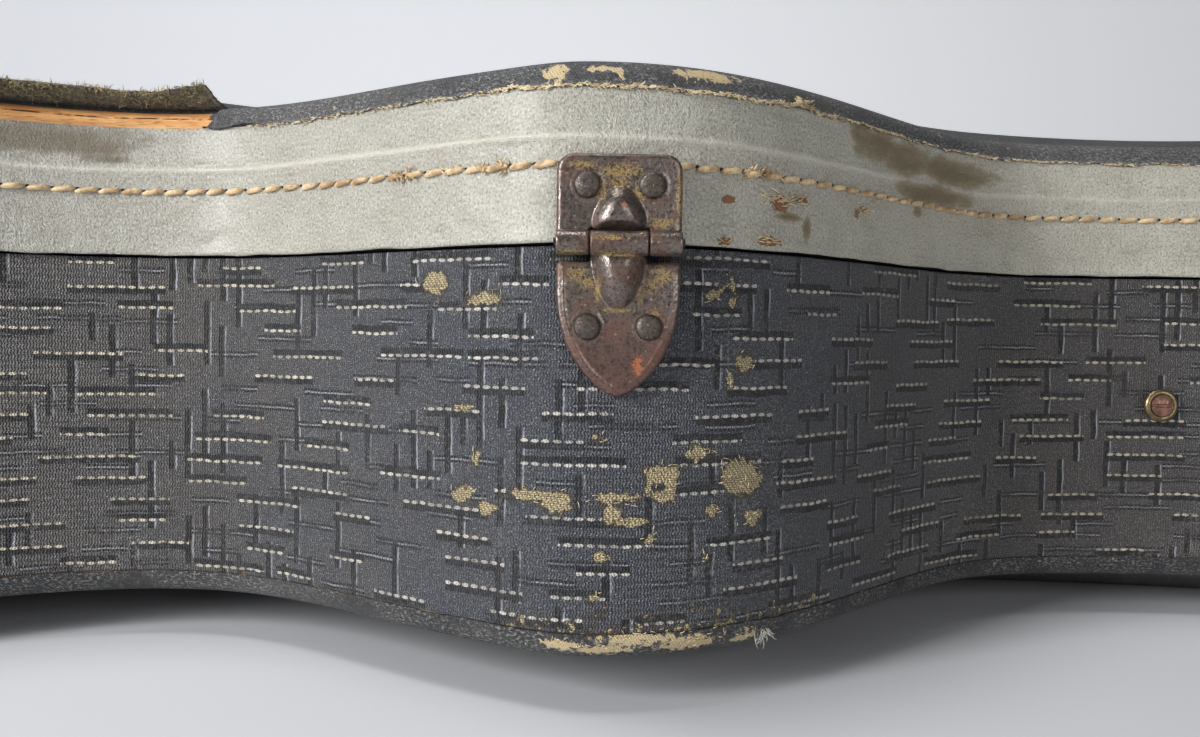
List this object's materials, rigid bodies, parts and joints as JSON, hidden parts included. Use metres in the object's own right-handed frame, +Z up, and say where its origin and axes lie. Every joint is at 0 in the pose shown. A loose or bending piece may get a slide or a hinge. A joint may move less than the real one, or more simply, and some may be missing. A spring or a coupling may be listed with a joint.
{
  "type": "hollow-body guitar case",
  "caption": "Arched hard case for a hollow-body guitar, cloth-covered plywood, with a hinged lid on stop hinges, draw latches, a handle and an accessory compartment.",
  "frame": {"origin": "on the flat crown of the arched back, which the case rests on, at the waist and on the centre line", "axes": "+X along the case towards the head end, +Y towards the latch and handle side, +Z up through the lid; the hinges are on the -Y side"},
  "size_m": [1.133, 0.4785, 0.184],
  "materials": {
    "plywood": "raw",
    "plain_cloth": "grained",
    "woven_cloth": "woven",
    "band_cloth": "coated",
    "plush": "pile",
    "rusty_steel": "worn",
    "dark_steel": "worn",
    "brass": "aged",
    "leather": "worn"
  },
  "bodies": {
    "base": {"base_rim": "plywood", "back_panel": "plywood", "neck_rest": "plywood", "compartment_hinge_strip": "plywood", "back_covering": "plain_cloth", "side_covering": "woven_cloth", "base_lining": "plush", "neck_rest_pad": "plush", "compartment_wall": "plush", "hinge_base_leaf_lower": "rusty_steel", "hinge_base_leaf_upper": "rusty_steel", "hinge_pin_lower": "dark_steel", "hinge_pin_upper": "dark_steel", "base_rivet_lower_left": "dark_steel", "base_rivet_lower_right": "dark_steel", "base_rivet_upper_left": "dark_steel", "base_rivet_upper_right": "dark_steel", "latch_plate_tail": "rusty_steel", "latch_plate_bout": "rusty_steel", "latch_plate_head": "rusty_steel", "handle_mount_tail": "rusty_steel", "handle_mount_head": "rusty_steel", "compartment_pin": "brass", "cup_washer_hinge_side": "brass", "cup_washer_latch_side": "brass", "side_screw_hinge_side": "brass", "side_screw_latch_side": "brass"},
    "lid": {"lid_rim": "plywood", "lid_panel": "plywood", "lid_covering": "plain_cloth", "lid_band": "band_cloth", "lid_lining": "plush", "hinge_lid_leaf_lower": "rusty_steel", "hinge_lid_leaf_upper": "rusty_steel", "lid_rivet_lower_left": "dark_steel", "lid_rivet_lower_right": "dark_steel", "lid_rivet_upper_left": "dark_steel", "lid_rivet_upper_right": "dark_steel", "latch_catch_tail": "rusty_steel", "latch_catch_bout": "rusty_steel", "latch_catch_head": "rusty_steel"},
    "compartment_lid": {"compartment_lid": "plush", "compartment_tab": "leather"},
    "handle": {"handle_grip": "leather"},
    "lever_tail": {"latch_lever_tail": "rusty_steel"},
    "bail_tail": {"latch_bail_tail": "dark_steel"},
    "lever_bout": {"latch_lever_bout": "rusty_steel"},
    "bail_bout": {"latch_bail_bout": "dark_steel"},
    "lever_head": {"latch_lever_head": "rusty_steel"},
    "bail_head": {"latch_bail_head": "dark_steel"}
  },
  "joints": [
    {"name": "lid_hinge", "type": "hinge", "parent": "base", "child": "lid", "pos_m": [0.12494, -0.18292, 0.1148], "axis": [0.9864, 0.1645, 0], "range_deg": [0, 100]},
    {"name": "compartment_hinge", "type": "hinge", "parent": "base", "child": "compartment_lid", "pos_m": [0.3123, -0.037, 0.06], "axis": [1, 0, 0], "range_deg": [0, 90]},
    {"name": "handle_swing", "type": "hinge", "parent": "base", "child": "handle", "pos_m": [0, 0.17475, 0.09], "axis": [1, 0, 0], "range_deg": [0, 150]},
    {"name": "lever_tail_swing", "type": "hinge", "parent": "base", "child": "lever_tail", "pos_m": [-0.17696, 0.23345, 0.1048], "axis": [0.9796, -0.2008, 0], "range_deg": [0, 80]},
    {"name": "bail_tail_swing", "type": "hinge", "parent": "lever_tail", "child": "bail_tail", "pos_m": [-0.17677, 0.23433, 0.0968], "axis": [0.9796, -0.2008, 0], "range_deg": [0, 140]},
    {"name": "lever_bout_swing", "type": "hinge", "parent": "base", "child": "lever_bout", "pos_m": [0.12714, 0.18254, 0.1048], "axis": [0.9113, -0.4117, 0], "range_deg": [0, 80]},
    {"name": "bail_bout_swing", "type": "hinge", "parent": "lever_bout", "child": "bail_bout", "pos_m": [0.12751, 0.18336, 0.0968], "axis": [0.9113, -0.4117, 0], "range_deg": [0, 140]},
    {"name": "lever_head_swing", "type": "hinge", "parent": "base", "child": "lever_head", "pos_m": [0.59979, 0.07562, 0.1048], "axis": [0.9992, 0.0401, 0], "range_deg": [0, 80]},
    {"name": "bail_head_swing", "type": "hinge", "parent": "lever_head", "child": "bail_head", "pos_m": [0.59976, 0.07652, 0.0968], "axis": [0.9992, 0.0401, 0], "range_deg": [0, 140]}
  ]
}
